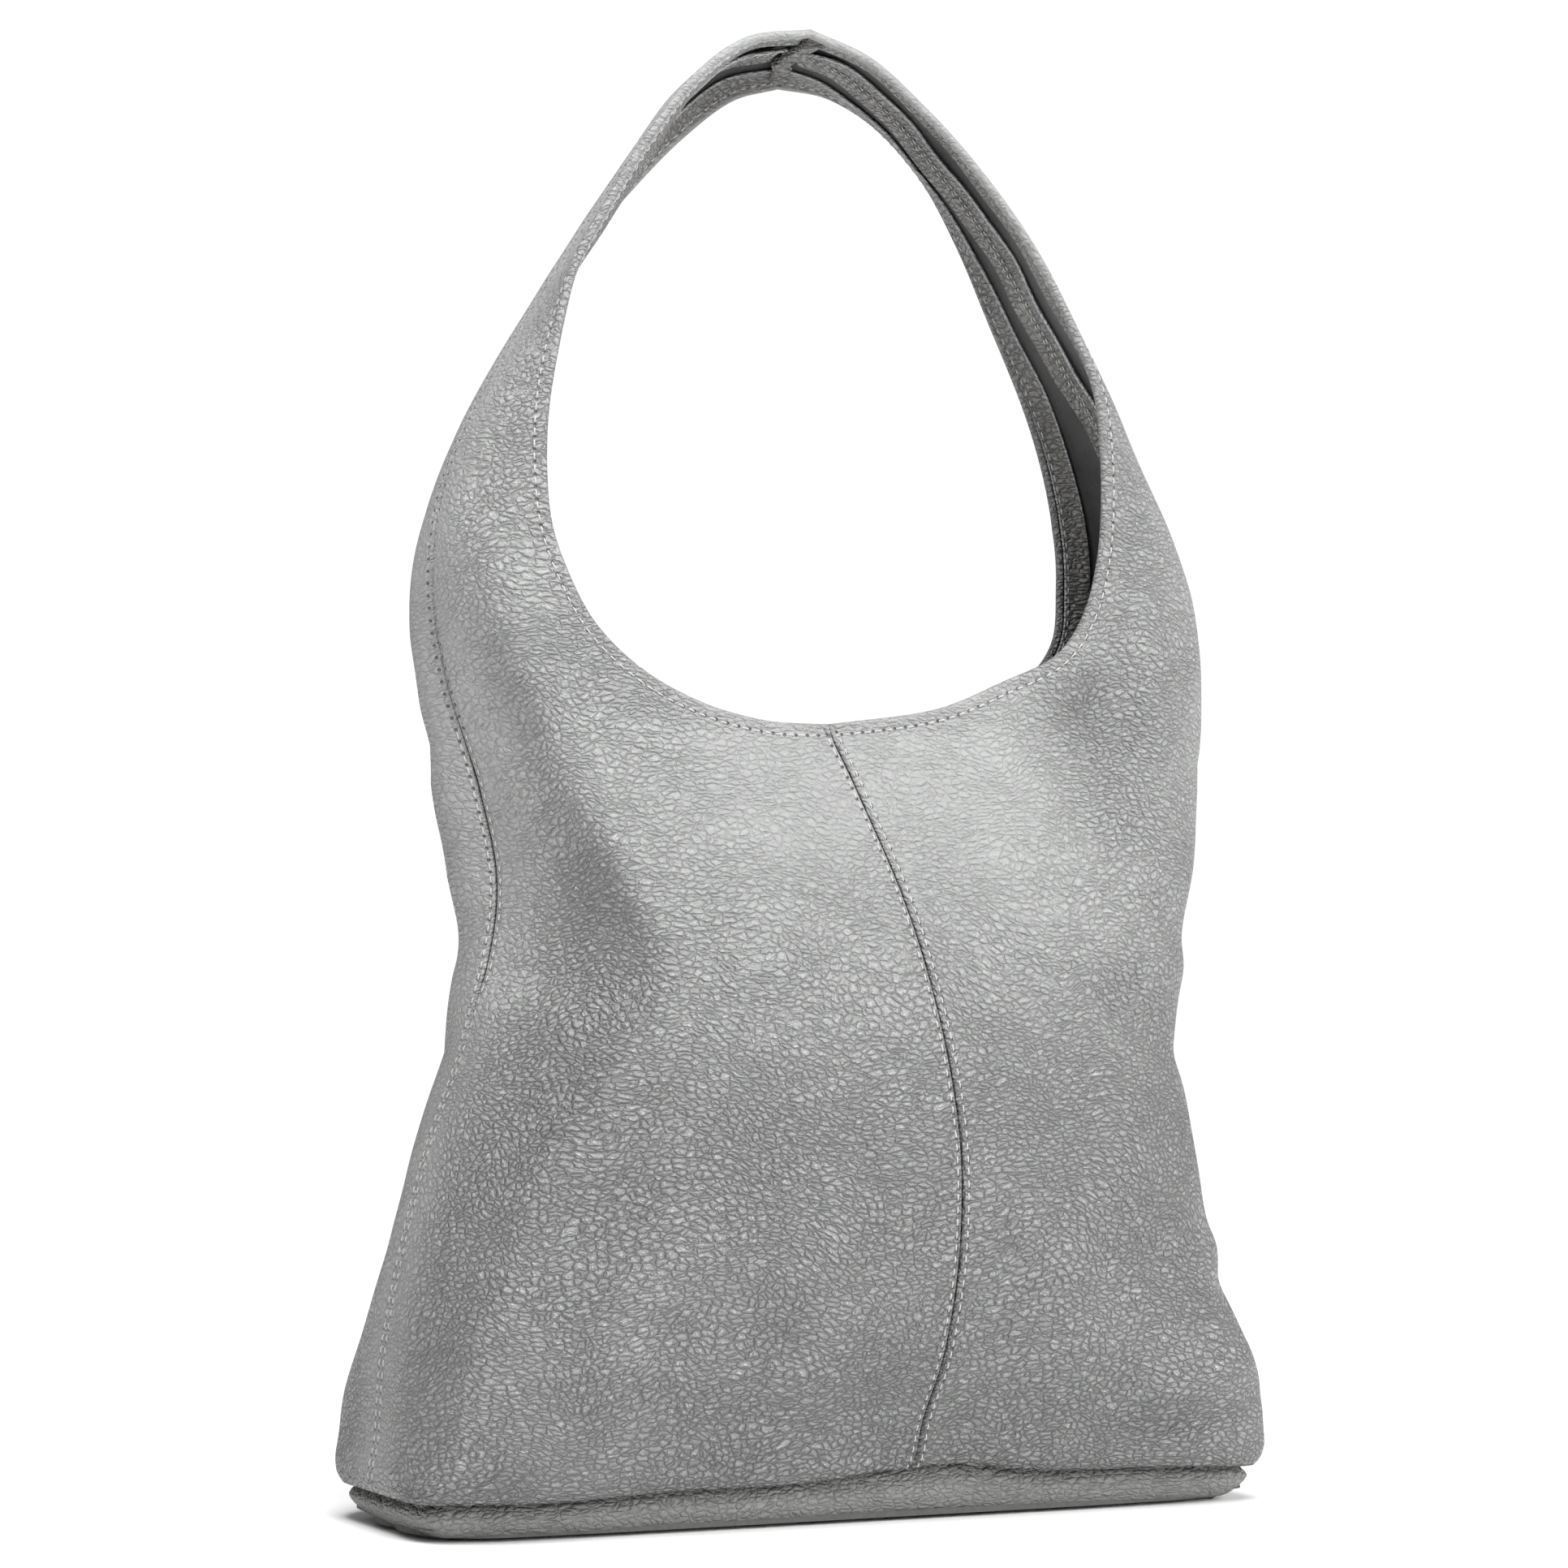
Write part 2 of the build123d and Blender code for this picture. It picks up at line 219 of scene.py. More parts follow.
def lengths_along(points):
    """Distance run at each point of a polyline, or of each row of a grid."""
    steps = np.linalg.norm(np.diff(points, axis=-2), axis=-1)
    zero = np.zeros(steps.shape[:-1] + (1,))
    return np.concatenate([zero, np.cumsum(steps, axis=-1)], axis=-1)


def at_lengths(stops, run, line):
    """Points of a line at the given distances along it."""
    return np.stack([np.interp(stops, run, line[:, k]) for k in range(3)], -1)


def pinched(rows):
    """Flattens the front between the left side seam and the crest at the waist."""
    rows = rows.copy()
    for row in rows:
        x, y, z = row[:, 0], row[:, 1], row[:, 2]
        k = int(np.argmax(x >= np.interp(z, *CREST_X)))
        if k < 3:
            continue
        share = np.interp(z[k], *CREST_FLATNESS)
        across = (x - x[0]) / (x[k] - x[0])
        chord = y[0] + (y[k] - y[0]) * across
        soft = CREST_SOFTNESS * smoothstep(0.5, 0.9, across)
        flat = (y + chord + np.sqrt((y - chord) ** 2 + soft**2)) / 2
        row[:, 1] = y + share * (flat - y)
    return rows


def base_surface(seam, inner, power, sweep, reshape=None):
    """Grid of points from the side seam to the inner curve, before any fold."""
    u = 0.5 - 0.5 * np.cos(np.pi * np.arange(TURN_STEPS + 1) / TURN_STEPS)
    turn = np.radians(sweep)[:, None] * u[None, :]
    e = 2 / power[:, None]
    along = 1 - np.clip(np.cos(turn), 0, None) ** e
    out = np.sin(turn) ** e
    along /= along[:, -1:]
    out /= out[:, -1:]
    flat = np.stack([along, out, along], -1)
    dense = seam[:, None] + (inner - seam)[:, None] * flat
    if reshape:
        dense = reshape(dense)
    total = lengths_along(dense)
    grid = []
    for row, length in zip(dense, total):
        whole = length[-1]
        near = NEAR * min(1.0, whole / NARROW)
        mid = np.linspace(near[-1], whole - near[-1], MIDDLE + 2)[1:-1]
        stops = np.concatenate([near, mid, whole - near[::-1]])
        grid.append(at_lengths(stops, length, row))
    return np.array(grid)


def unit(v):
    return v / np.maximum(np.linalg.norm(v, axis=-1, keepdims=True), 1e-9)


def square_to(way, n):
    """Normals n, turned to lie square to the unit directions way."""
    return unit(n - way * (n * way).sum(1, keepdims=True))


def grid_normals(grid, sign):
    return sign * unit(np.cross(np.gradient(grid, axis=1), np.gradient(grid, axis=0)))


def near_line(points, line):
    """Distance of each point from a polyline, and how far along it lies."""
    flat = points.reshape(-1, 3)
    length = lengths_along(line)
    a, b = line[:-1], line[1:]
    ab = b - a
    size = np.maximum((ab**2).sum(1), 1e-12)
    best = np.full(len(flat), 1e9)
    where = np.zeros(len(flat))
    for k in range(len(a)):
        w = np.clip(((flat - a[k]) @ ab[k]) / size[k], 0, 1)
        d = np.linalg.norm(flat - a[k] - w[:, None] * ab[k], axis=1)
        closer = d < best
        best[closer] = d[closer]
        where[closer] = length[k] + w[closer] * (length[k + 1] - length[k])
    return best.reshape(points.shape[:-1]), where.reshape(points.shape[:-1])


def smoothstep(low, high, x):
    w = np.clip((x - low) / (high - low), 0, 1)
    return w * w * (3 - 2 * w)


def bell(x, width):
    return np.exp(-((x / width) ** 2))


def broad_noise(points, size, seed):
    flat = points.reshape(-1, 3) / size + (seed, 0, -seed)
    out = np.array([perlin(Vector(p)) for p in flat])
    return out.reshape(points.shape[:-1])


# Folds, as heights above the plain surface in millimetres (x and z of the front)
CREASE_FADE = 0.18     # how much of its length a crease fades over at each end


def crease(x, z, start, end, height, width):
    """A ridge (or, with negative height, a valley) along a line from start to end."""
    ax, az = start
    bx, bz = end
    dx, dz = bx - ax, bz - az
    size = math.hypot(dx, dz)
    w = ((x - ax) * dx + (z - az) * dz) / size**2
    side = ((x - ax) * dz - (z - az) * dx) / size
    reach = smoothstep(-CREASE_FADE, CREASE_FADE, w) * smoothstep(-CREASE_FADE, CREASE_FADE, 1 - w)
    return height * reach * bell(side, width)


def swelling(x, z, centre, size, height):
    """A rounded rise (or, with negative height, a dent) about a centre."""
    away = ((x - centre[0]) / size[0]) ** 2 + ((z - centre[1]) / size[1]) ** 2
    return height * np.exp(-away)


# creases: start, end, height, width; swellings: centre, size, height
FRONT_LEFT_CREASES = [
    ((-150, 388), (-92, 246), 2.2, 15), ((-52, 300), (-80, 232), -2.0, 24),
    ((-100, 204), (-30, 186), 3.4, 14), ((-118, 172), (-60, 150), -2.6, 13),
    ((-132, 128), (-30, 98), 2.4, 12), ((-150, 92), (-40, 68), -2.2, 11),
    ((-150, 446), (-136, 438), 1.2, 3.0), ((-152, 438), (-138, 431), -1.2, 3.0),
    ((-150, 430), (-134, 424), 1.0, 3.5), ((-176, 100), (-160, 30), 0.8, 14),
]
FRONT_LEFT_SWELLINGS = [
    ((-72, 212), (16, 9), -2.5), ((-150, 34), (34, 22), 4.5), ((0, 26), (70, 20), -3.0),
]
FRONT_RIGHT_CREASES = [
    ((56, 238), (160, 226), 3.4, 12), ((66, 256), (150, 248), -1.8, 12),
    ((114, 350), (112, 272), -7.5, 17), ((146, 380), (152, 268), 4.0, 15),
    ((96, 212), (168, 186), -5.0, 10), ((146, 198), (172, 176), 2.4, 8),
    ((60, 176), (150, 150), -1.6, 14), ((50, 130), (150, 116), 1.5, 12),
    ((120, 46), (178, 62), 1.8, 7), ((128, 34), (184, 44), -2.4, 6),
    ((134, 82), (176, 92), -1.8, 8), ((140, 100), (178, 112), 1.6, 8),
]
FRONT_RIGHT_SWELLINGS = [((160, 40), (26, 22), 4.0), ((40, 28), (60, 20), -4.0)]
# how deep the hollow between the left seam and the crest is, at heights
HOLLOW_DEPTH = ([20, 130, 196, 219, 240, 280, 400], [0, 0, 0.6, 3.6, 3, 1.2, 0])


def folded(x, z, creases, swellings=()):
    height = sum(crease(x, z, *each) for each in creases)
    return height + sum(swelling(x, z, *each) for each in swellings)


def front_left_folds(x, z, seam_x):
    """The waist is pinched in at the side: two ridges meet in a point, a hollow beside them."""
    ridge = np.interp(z, *CREST_X)
    inside = np.clip((x - seam_x) / np.maximum(ridge - seam_x, 4.0), 0, 1)
    hollow = np.interp(z, *HOLLOW_DEPTH) * np.sin(np.pi * inside)
    crest = 2.6 * bell(x - ridge, 10) * smoothstep(20, 90, z) * (1 - smoothstep(350, 420, z))
    return crest - hollow + folded(x, z, FRONT_LEFT_CREASES, FRONT_LEFT_SWELLINGS)


def front_right_folds(x, z, seam_x):
    return folded(x, z, FRONT_RIGHT_CREASES, FRONT_RIGHT_SWELLINGS)


def back_folds(x, z, seam_x):
    side = float(np.sign(seam_x[0, 0]))
    return folded(x, z, [
        ((side * 150, 380), (side * 80, 225), 2.2, 18),
        ((side * 150, 240), (side * 95, 214), -5.0, 20),
        ((side * 90, 205), (side * 165, 60), 2.6, 18),
        ((-60, 236), (70, 226), 2.0, 20), ((-30, 290), (-40, 250), -1.6, 26),
    ])


# The four quarters
EASE_ROUNDS = 110
EASE_HEIGHT, EASE_REACH = 330, 62
CLEAR_OF_SEAM = 9      # along the rim, where the centre seam's valley has faded


class Quarter:
    """One panel's surface: the plain drape, the folded skin and the outer face."""

    def __init__(self, name, seam, centre, rim, power, folds, sign):
        self.name, self.sign = name, sign
        self.seam = between_stations(seam, ROWS)
        self.inner = inner_curve(centre, rim, ROWS)
        p = between_stations(power, ROWS)[:, 0]
        turn = between_stations(SWEEP, ROWS)[:, 0]
        reshape = pinched if name == "front_left" else None
        grid = base_surface(self.seam, self.inner, p, np.clip(turn, 0, 90), reshape)
        grid = self.eased(grid)
        grid[..., 2] += base_edge(grid[..., 0]) * (1 - smoothstep(BASE_SEAM, 80, grid[..., 2]))
        first_gap = near_line(grid, self.seam)[0] / 26
        swell = np.interp(grid[..., 2], *SWELL[name]) * first_gap * np.exp(1 - first_gap)
        grid[..., 0] += np.sign(self.seam[0, 0]) * swell
        normal = grid_normals(grid, sign)
        self.plain = grid
        self.side_gap, self.side_run = near_line(grid, grid[:, 0])
        self.centre_gap, self.centre_run = near_line(grid, grid[: CORNER_ROW + 1, -1])
        self.rim_gap, self.rim_run = near_line(grid, grid[CORNER_ROW:, -1])
        x, z = grid[..., 0], grid[..., 2]
        height = folds(x, z, self.seam[:, 0][:, None])
        height += 1.3 * broad_noise(grid, 62, 3.1) + 0.7 * broad_noise(grid, 27, 8.2)
        calm = smoothstep(0, 26, self.side_gap) * smoothstep(0, 22, self.centre_gap)
        calm *= smoothstep(0, 24, self.rim_gap) * smoothstep(BASE_SEAM, 34, z)
        self.skin = grid + normal * (height * calm)[..., None]
        self.normal = grid_normals(self.skin, sign)
        self.outer = self.skin + self.normal * self.seam_relief()[..., None]
        self.normal = grid_normals(self.outer, sign)
        self.edge_frame()

    def eased(self, grid):
        """Evens out the change of slope where the rim leaves the centre seam."""
        rim_gap = near_line(grid, self.inner[CORNER_ROW:])[0]
        share = smoothstep(3, 26, rim_gap) * bell(grid[..., 2] - EASE_HEIGHT, EASE_REACH)
        even = grid[..., 1].copy()
        for _ in range(EASE_ROUNDS):
            even[1:-1] = (even[:-2] + 2 * even[1:-1] + even[2:]) / 4
        grid[..., 1] += share * (even - grid[..., 1])
        return grid

    def seam_relief(self):
        """Valleys at the seams, the raised allowances beside them and the stitch lines."""
        relief = np.zeros(self.plain.shape[:2])
        for gap, run, depth in (
            (self.side_gap, self.side_run, 0.9),
            (self.centre_gap, self.centre_run, 1.6 * smoothstep(1, 7, self.rim_gap)),
        ):
            pull = 0.5 + 0.5 * np.cos(2 * np.pi * run / STITCH)
            relief -= depth * bell(gap, 0.75)
            relief += 0.5 * (1 - smoothstep(3.2, 6.5, gap))
            relief -= (0.35 + 0.2 * pull) * bell(gap - SEAM_STITCH, 0.8)
        pull = 0.5 + 0.5 * np.cos(2 * np.pi * self.rim_run / STITCH)
        above = self.plain[..., 2] - BASE_SEAM - base_edge(self.plain[..., 0])
        relief += 2.2 * bell(above - 8, 8) - 1.4 * (1 - smoothstep(0, 3.5, above))
        on_rim = np.where(ROWS >= CORNER - 1.2, 1.0, 0.0)[:, None]
        relief -= on_rim * (0.25 + 0.15 * pull) * bell(self.rim_gap - RIM_STITCH, 0.9)
        return relief

    def edge_frame(self):
        """Normal and outward direction along the rim."""
        rim = self.outer[CORNER_ROW:, -1]
        run = unit(np.gradient(rim, axis=0))
        n = self.normal[CORNER_ROW:, -4].copy()
        # the seam's valley would tilt the first few
        clear = int(np.argmax(lengths_along(rim) > CLEAR_OF_SEAM))
        n[:clear], run[:clear] = n[clear], run[clear]
        n = square_to(run, n)
        away = np.cross(n, run)
        away *= np.sign(away[0, 2])
        self.rim, self.rim_normal, self.rim_away = rim, n, away


QUARTERS = {each[0]: Quarter(*each) for each in (
    ("front_left", SEAM_LEFT, CENTRE_FRONT, RIM_FRONT_LEFT, POWER_FRONT_LEFT, front_left_folds, 1),
    ("front_right", SEAM_RIGHT, CENTRE_FRONT, RIM_FRONT_RIGHT, POWER_FRONT_RIGHT, front_right_folds, -1),
    ("back_left", SEAM_LEFT, CENTRE_BACK, RIM_BACK_LEFT, POWER_BACK_LEFT, back_folds, -1),
    ("back_right", SEAM_RIGHT, CENTRE_BACK, RIM_BACK_RIGHT, POWER_BACK_RIGHT, back_folds, 1),
)}


def placed(name, data):
    """A new object in the scene."""
    obj = bpy.data.objects.new(name, data)
    bpy.context.scene.collection.objects.link(obj)
    return obj


def make_mesh(name, vertices, faces, materials, face_slots=None, values=None):
    """Mesh object from millimetre vertices. values are float attributes per vertex."""
    mesh = bpy.data.meshes.new(name)
    vertices = np.asarray(vertices, float)
    mesh.from_pydata((vertices * MM).tolist(), [], faces)
    for material in materials:
        mesh.materials.append(material)
    if face_slots is not None:
        mesh.polygons.foreach_set("material_index", np.asarray(face_slots, np.int32))
    mesh.polygons.foreach_set("use_smooth", [True] * len(mesh.polygons))
    rest = mesh.attributes.new("rest", "FLOAT_VECTOR", "POINT")
    rest.data.foreach_set("vector", (vertices * MM).astype(np.float32).ravel())
    for key, data in (values or {}).items():
        layer = mesh.attributes.new(key, "FLOAT", "POINT")
        layer.data.foreach_set("value", np.asarray(data, np.float32).ravel())
    mesh.update()
    obj = placed(name, mesh)
    bm = bmesh.new()
    bm.from_mesh(mesh)
    bmesh.ops.recalc_face_normals(bm, faces=bm.faces)
    bm.to_mesh(mesh)
    bm.free()
    return obj


def thicken(obj, thickness, offset):
    solid = obj.modifiers.new("thickness", "SOLIDIFY")
    solid.thickness = thickness * MM
    solid.offset = offset


def band(first, second, count):
    """Faces between two closed rings whose vertices start at first and second."""
    after = [(k + 1) % count for k in range(count)]
    return [(first + k, first + n, second + n, second + k) for k, n in enumerate(after)]


def loop_mesh(name, loops, materials, slots=None, values=None):
    """Closed rings of points, ring after ring. Opposite points pair up for the end caps."""
    loops = np.asarray(loops, float)
    rows, ring = loops.shape[:2]
    faces = []
    for r in range(rows - 1):
        faces += band(r * ring, (r + 1) * ring, ring)
    face_slots = list(slots or [0] * ring) * (rows - 1)
    for base in (0, (rows - 1) * ring):
        for k in range(ring // 2 - 1):
            a, b = base + k, base + k + 1
            c, d = base + ring - 2 - k, base + ring - 1 - k
            faces.append((a, b, c, d) if c != b else (a, b, d))
            face_slots.append(0)
    return make_mesh(name, loops.reshape(-1, 3), faces, materials, face_slots, values)


# Materials
class Nodes:
    """Small helper to write node trees."""

    def __init__(self, name):
        self.material = bpy.data.materials.new(name)
        self.material.use_nodes = True
        self.tree = self.material.node_tree
        self.tree.nodes.clear()
        self.output = self.add("ShaderNodeOutputMaterial")
        self.bsdf = self.add("ShaderNodeBsdfPrincipled")
        self.tree.links.new(self.bsdf.outputs[0], self.output.inputs[0])

    def add(self, kind, inputs=(), **settings):
        """A node of a kind. Its inputs, by number or name, get a link or a constant."""
        node = self.tree.nodes.new(kind)
        for key, value in settings.items():
            setattr(node, key, value)
        self.put(node, inputs)
        return node

    def put(self, node, inputs):
        for key, value in dict(inputs).items():
            if isinstance(value, bpy.types.NodeSocket):
                self.tree.links.new(value, node.inputs[key])
            else:
                node.inputs[key].default_value = value

    def math(self, operation, a, b=0.0, c=0.0, clamp=False):
        values = enumerate((a, b, c))
        return self.add("ShaderNodeMath", values, operation=operation, use_clamp=clamp).outputs[0]

    def times(self, a, b):
        return self.math("MULTIPLY", a, b)

    def times_plus(self, a, b, c):
        return self.math("MULTIPLY_ADD", a, b, c)

    def vector(self, operation, a, b):
        return self.add("ShaderNodeVectorMath", enumerate((a, b)), operation=operation).outputs[0]

    def attribute(self, name, output="Fac"):
        return self.add("ShaderNodeAttribute", attribute_name=name).outputs[output]

    def noise(self, vector, scale, detail=3.0, roughness=0.55, output="Fac"):
        values = {"Vector": vector, "Scale": scale, "Detail": detail, "Roughness": roughness}
        return self.add("ShaderNodeTexNoise", values).outputs[output]

    def cells(self, vector, scale):
        values = {"Vector": vector, "Scale": scale}
        return self.add("ShaderNodeTexVoronoi", values, feature="DISTANCE_TO_EDGE").outputs["Distance"]

    def ramp(self, value, low, high, out_low=0.0, out_high=1.0):
        values = enumerate((value, low, high, out_low, out_high))
        return self.add("ShaderNodeMapRange", values, interpolation_type="SMOOTHSTEP").outputs[0]

    def mix(self, factor, a, b):
        return self.add("ShaderNodeMix", {0: factor, 6: a, 7: b}, data_type="RGBA").outputs[2]

    def bump(self, height, distance, strength=1.0):
        values = {"Strength": strength, "Distance": distance, "Height": height}
        return self.add("ShaderNodeBump", values).outputs[0]

    def surface(self, inputs):
        """Sets the shader's inputs and gives the finished material."""
        self.put(self.bsdf, inputs)
        return self.material


def rgba(tone, factor=1.0):
    return tuple(factor * c for c in tone) + (1,)


PEBBLES = 225.0        # cells to a metre
WRINKLES = 72.0
PEBBLE_DEPTH = 0.0034
# how dark the creases are painted: painted shade in the creases
CREASE_PAINTED_SHADE = 0.47


# Its crease lines and stitch holes are darkened in colour: painted shade.
def leather(name, tone, grain=None):
    """Pebbled leather: flattened cells between dark creases, crossed by longer wrinkles.

    Without a grain it is the panels' own, which reads the grain and the stitch lines
    from the mesh's attributes.
    """
    n = Nodes(name)
    rest = n.attribute("rest", "Vector")
    warped = rest
    for scale, reach in ((13.0, 0.03), (260.0, 0.0022)):
        drift = n.vector("SUBTRACT", n.noise(rest, scale, 2.0, output="Color"), (0.5,) * 3)
        warped = n.vector("ADD", warped, n.vector("MULTIPLY", drift, (reach,) * 3))
    flat = n.vector("MULTIPLY", warped, (1.0, 1.0, 2.0))
    cell = n.cells(flat, PEBBLES)
    small = n.cells(flat, 470.0)
    wide = n.cells(n.vector("MULTIPLY", warped, (0.62, 0.62, 2.0)), WRINKLES)
    patches = n.noise(rest, 24.0, 3.0)
    crease = n.ramp(cell, 0.0, 0.13)
    dome = n.ramp(cell, 0.0, 0.42)
    fine = n.ramp(small, 0.0, 0.22)
    line = n.ramp(wide, 0.0, 0.06)
    line = n.math("MAXIMUM", line, n.ramp(patches, 0.40, 0.58, 0.8, 0.3))
    height = n.times_plus(crease, 0.40, n.times(dome, 0.60))
    height = n.times_plus(fine, 0.14, height)
    height = n.times_plus(line, 0.45, height)
    height = n.times_plus(n.noise(rest, 900.0, 2.0), 0.16, height)
    vary = n.ramp(patches, 0.3, 0.7, 0.92, 1.08)
    amount = n.times(vary, n.attribute("grain") if grain is None else grain)
    height = n.times(height, amount)
    height = n.times_plus(n.noise(rest, 150.0, 2.0), 0.5, height)
    # painted shade: the colour is darkened along the crease lines and wrinkles, more where the grain is
    # heavy
    thin = n.times(n.ramp(cell, 0.0, 0.11), n.times_plus(line, 0.6, 0.4))
    thin = n.times(thin, n.times_plus(n.ramp(small, 0.0, 0.14), 0.3, 0.7))
    painted_shade = n.times(n.math("SUBTRACT", 1.0, thin), amount)
    painted_shade = n.math("MULTIPLY", painted_shade, CREASE_PAINTED_SHADE, clamp=True)
    if grain is None:
        holes = 0.0
        for edge, distance in (("side", SEAM_STITCH), ("centre", SEAM_STITCH), ("rim", RIM_STITCH)):
            off = n.math("SUBTRACT", n.attribute(edge + "_gap"), distance)
            beat = n.math("FRACT", n.math("DIVIDE", n.attribute(edge + "_run"), STITCH))
            beat = n.times(n.math("SUBTRACT", beat, 0.5), STITCH)
            # the thread sits at the middle of each beat, the holes at its ends
            beat = n.math("SUBTRACT", n.math("ABSOLUTE", beat), STITCH / 2)
            away = n.math("SQRT", n.times_plus(off, off, n.times(beat, beat)))
            holes = n.math("MAXIMUM", holes, n.ramp(away, 0.30, 0.80, 1.0, 0.0))
        height = n.times_plus(holes, -1.4, height)
        # painted shade in the stitch holes, which the bump also sinks
        painted_shade = n.math("MAXIMUM", painted_shade, n.times(holes, 0.6))
    base = n.mix(n.ramp(n.noise(rest, 9.0, 2.0), 0.35, 0.65), rgba(tone, 0.95), rgba(tone, 1.05))
    coarse = n.ramp(amount, 0.1, 1.0)
    base = n.vector("MULTIPLY", base, n.times_plus(coarse, 0.16, 0.86))
    # the painted shade darkens the colour here
    base = n.mix(painted_shade, base, rgba(tone, 0.10))
    gloss = n.ramp(n.noise(rest, 330.0, 2.0), 0.35, 0.7, 0.28, 0.40)
    gloss = n.times_plus(coarse, -0.16, n.math("ADD", gloss, 0.16))
    return n.surface({
        "Base Color": base, "Roughness": n.times_plus(painted_shade, 0.4, gloss),
        "Specular IOR Level": 0.55, "Normal": n.bump(height, PEBBLE_DEPTH),
    })


def suede(name, tone):
    n = Nodes(name)
    rest = n.attribute("rest", "Vector")
    nap = n.noise(rest, 1500.0, 4.0, 0.7)
    cloud = n.noise(rest, 60.0, 3.0)
    height = n.times_plus(cloud, 0.8, nap)
    shade = n.ramp(n.times_plus(nap, 0.7, n.times(cloud, 0.5)), 0.3, 0.9)
    return n.surface({
        "Base Color": n.mix(shade, rgba(tone, 0.55), rgba(tone, 1.45)), "Roughness": 0.95,
        "Specular IOR Level": 0.2, "Sheen Weight": 0.25, "Sheen Roughness": 0.6,
        "Normal": n.bump(height, 0.0005, 0.8),
    })


def thread_material():
    n = Nodes("thread")
    ply = n.noise(n.attribute("rest", "Vector"), 3200.0, 2.0)
    return n.surface({
        "Base Color": n.mix(ply, (0.30, 0.30, 0.295, 1), (0.62, 0.62, 0.61, 1)),
        "Roughness": 0.55, "Sheen Weight": 0.2, "Normal": n.bump(ply, 0.0002, 0.8),
    })


def metal_material():
    n = Nodes("snap_nickel")
    place = n.add("ShaderNodeTexCoord").outputs["Object"]
    brushed = n.noise(n.vector("MULTIPLY", place, (1.0, 1.0, 14.0)), 700.0, 3.0)
    return n.surface({
        "Base Color": (0.66, 0.65, 0.62, 1), "Metallic": 1.0,
        "Roughness": n.ramp(brushed, 0.3, 0.7, 0.2, 0.34),
        "Normal": n.bump(brushed, 0.00005, 0.4),
    })


def board_material():
    n = Nodes("stiffener_board")
    fleck = n.noise(n.add("ShaderNodeTexCoord").outputs["Object"], 500.0, 4.0)
    return n.surface({
        "Base Color": n.mix(fleck, (0.05, 0.05, 0.05, 1), (0.13, 0.13, 0.125, 1)),
        "Roughness": 0.8, "Normal": n.bump(fleck, 0.0002, 0.5),
    })


PANEL = leather("panel_leather", (0.330, 0.335, 0.330))
# the base is darker than the panels' leather: painted shade under the panels' overhanging edge
SHADED_BASE_LEATHER = leather("base_leather", (0.215, 0.217, 0.210), grain=0.25)
TRIM = leather("trim_leather", (0.30, 0.295, 0.285), grain=0.8)
# the suede's own dark grey, darkened further: painted shade inside the bag
SUEDE = suede("suede_side", (0.042, 0.042, 0.041))
CUT_EDGE = leather("cut_edge", (0.56, 0.57, 0.59), grain=0.25)
THREAD = thread_material()
NICKEL = metal_material()
BOARD = board_material()


# Panels
TURN = 3               # columns that the rolled rim runs back on the inside


def panel(q):
    """One panel: outer face, turned edge at seam or rolled rim, suede inner face."""
    rows, cols = q.outer.shape[:2]
    arc = [math.pi * k / 8 for k in range(1, 8)]
    loops = []
    for r in range(rows):
        out, n = q.outer[r], q.normal[r]
        inner = q.skin[r] - n * LEATHER
        edge = []
        if r >= CORNER_ROW:
            k = r - CORNER_ROW
            centre = q.rim[k] - q.rim_normal[k] * ROLL
            for a in arc:
                way = q.rim_normal[k] * math.cos(a) + q.rim_away[k] * math.sin(a)
                edge.append(centre + ROLL * way)
            inner[-TURN:] = q.outer[r, -TURN:] - q.rim_normal[k] * 2 * ROLL
        else:
            for k in range(len(arc)):
                w = (k + 1) / (len(arc) + 1)
                edge.append(out[-1] * (1 - w) + inner[-1] * w)
        loops.append(np.vstack([out, np.array(edge), inner[::-1]]))
    ring = 2 * cols + len(arc)
    slots = [0] * (cols + len(arc) + TURN) + [1] * (ring - cols - len(arc) - TURN)
    slots[-1] = 1

    def around(values, fill=FAR):
        tail = np.full((rows, ring - cols), fill)
        return np.concatenate([values, tail], axis=1)

    x, z = q.plain[..., 0], q.plain[..., 2]
    low = 1 - smoothstep(110, 300, z)
    # grain amount: heavier low down and away from the side seams; it also scales the painted crease
    # shade
    grain = 0.20 + 0.92 * low + 0.36 * smoothstep(50, 130, abs(x - 10)) * (1 - low)
    grain *= 1 - 0.35 * smoothstep(400, 560, z)
    grain *= 0.35 + 0.65 * smoothstep(8, 42, q.side_gap)
    grain_ring = np.concatenate([grain, np.repeat(grain[:, -1:], ring - cols, axis=1)], axis=1)
    rim_gap = np.where((ROWS >= CORNER - 1.2)[:, None], q.rim_gap, FAR)
    values = {
        "grain": grain_ring,
        "side_gap": around(q.side_gap), "side_run": around(q.side_run, 0),
        "centre_gap": around(q.centre_gap), "centre_run": around(q.centre_run, 0),
        "rim_gap": around(rim_gap), "rim_run": around(q.rim_run, 0),
    }
    obj = loop_mesh(q.name + "_panel_leather", loops, [PANEL, SUEDE], slots, values)
    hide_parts(q.name + "_panel", q.name + "_strap_arm")
    return obj


def tree_of(side):
    """Search tree over the outside of the two quarters on a side."""
    vertices, faces = [], []
    for q in (each for name, each in QUARTERS.items() if side in name):
        grid = q.skin
        rows, cols = grid.shape[:2]
        base = len(vertices)
        vertices += [tuple(p) for p in grid.reshape(-1, 3)]
        for r in range(rows - 1):
            for c in range(cols - 1):
                a = base + r * cols + c
                quad = (a, a + 1, a + cols + 1, a + cols)
                faces.append(quad if q.sign > 0 else quad[::-1])
    return BVHTree.FromPolygons(vertices, faces)


